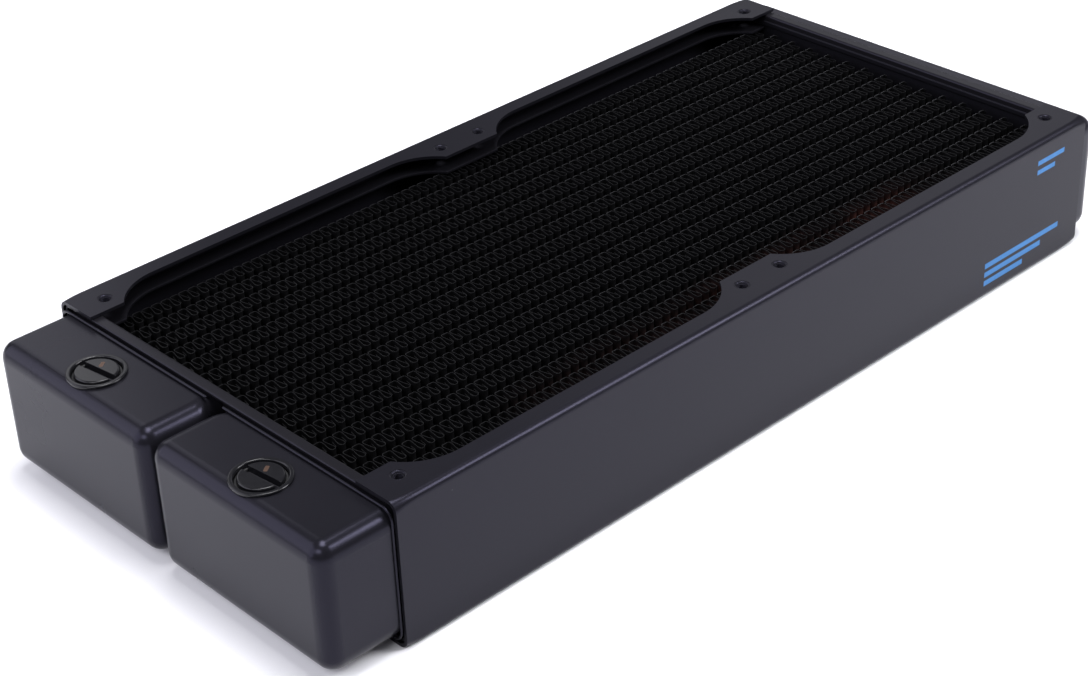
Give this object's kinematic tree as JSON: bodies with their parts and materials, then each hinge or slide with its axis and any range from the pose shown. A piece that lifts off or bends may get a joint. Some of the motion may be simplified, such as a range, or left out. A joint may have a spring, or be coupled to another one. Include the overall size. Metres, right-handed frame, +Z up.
{
  "type": "liquid cooling radiator",
  "caption": "Slim tube-and-fin heat exchanger for a water-cooled computer, with fan mounting flanges on both faces and screw-in stop plugs in its ports.",
  "frame": {"origin": "middle of the underside of the whole radiator", "axes": "+X from the two ports' end to the return tank's end, +Y across towards the outlet's side, +Z up through the core"},
  "size_m": [0.314, 0.143, 0.0445],
  "materials": {
    "painted_steel": "satin black powder coat",
    "painted_brass": "satin black paint over brass",
    "tube_brass": "thin black paint",
    "fin_copper": "thin black paint over copper sheet, copper showing through",
    "seal_rubber": "matt",
    "plug_black": "glossy black plating"
  },
  "bodies": {
    "radiator": {"side_panel_left": "painted_steel", "side_panel_right": "painted_steel", "inlet_tank": "painted_brass", "outlet_tank": "painted_brass", "return_tank": "painted_brass", "front_header_plate": "painted_brass", "rear_header_plate": "painted_brass", "flat_tube_01": "tube_brass", "flat_tube_02": "tube_brass", "flat_tube_03": "tube_brass", "flat_tube_04": "tube_brass", "flat_tube_05": "tube_brass", "flat_tube_06": "tube_brass", "flat_tube_07": "tube_brass", "flat_tube_08": "tube_brass", "flat_tube_09": "tube_brass", "flat_tube_10": "tube_brass", "flat_tube_11": "tube_brass", "flat_tube_12": "tube_brass", "flat_tube_13": "tube_brass", "flat_tube_14": "tube_brass", "fin_strip_01": "fin_copper", "fin_strip_02": "fin_copper", "fin_strip_03": "fin_copper", "fin_strip_04": "fin_copper", "fin_strip_05": "fin_copper", "fin_strip_06": "fin_copper", "fin_strip_07": "fin_copper", "fin_strip_08": "fin_copper", "fin_strip_09": "fin_copper", "fin_strip_10": "fin_copper", "fin_strip_11": "fin_copper", "fin_strip_12": "fin_copper", "fin_strip_13": "fin_copper", "fin_strip_14": "fin_copper", "fin_strip_15": "fin_copper", "core_side_plate_left": "painted_steel", "core_side_plate_right": "painted_steel", "top_screw_guard_left": "painted_steel", "top_screw_guard_right": "painted_steel", "bottom_screw_guard_left": "painted_steel", "bottom_screw_guard_right": "painted_steel", "inlet_port_bushing": "painted_brass", "outlet_port_bushing": "painted_brass"},
    "inlet_plug_carrier": {"inlet_plug_seal": "seal_rubber"},
    "inlet_plug": {"inlet_plug": "plug_black"},
    "outlet_plug_carrier": {"outlet_plug_seal": "seal_rubber"},
    "outlet_plug": {"outlet_plug": "plug_black"}
  },
  "joints": [
    {"name": "inlet_plug_lift", "type": "slide", "parent": "radiator", "child": "inlet_plug_carrier", "axis": [0, 0, 1], "range_m": [0, 0.0067]},
    {"name": "inlet_plug_turn", "type": "hinge", "parent": "inlet_plug_carrier", "child": "inlet_plug", "pos_m": [-0.1467, -0.0354, 0.0424], "axis": [0, 0, 1], "range_deg": [0, 1800]},
    {"name": "outlet_plug_lift", "type": "slide", "parent": "radiator", "child": "outlet_plug_carrier", "axis": [0, 0, 1], "range_m": [0, 0.0067]},
    {"name": "outlet_plug_turn", "type": "hinge", "parent": "outlet_plug_carrier", "child": "outlet_plug", "pos_m": [-0.1467, 0.0354, 0.0424], "axis": [0, 0, 1], "range_deg": [0, 1800]}
  ],
  "couplings": [
    {"joint": "inlet_plug_lift", "follows": "inlet_plug_turn", "m_per_rad": 0.00021279},
    {"joint": "outlet_plug_lift", "follows": "outlet_plug_turn", "m_per_rad": 0.00021279}
  ]
}
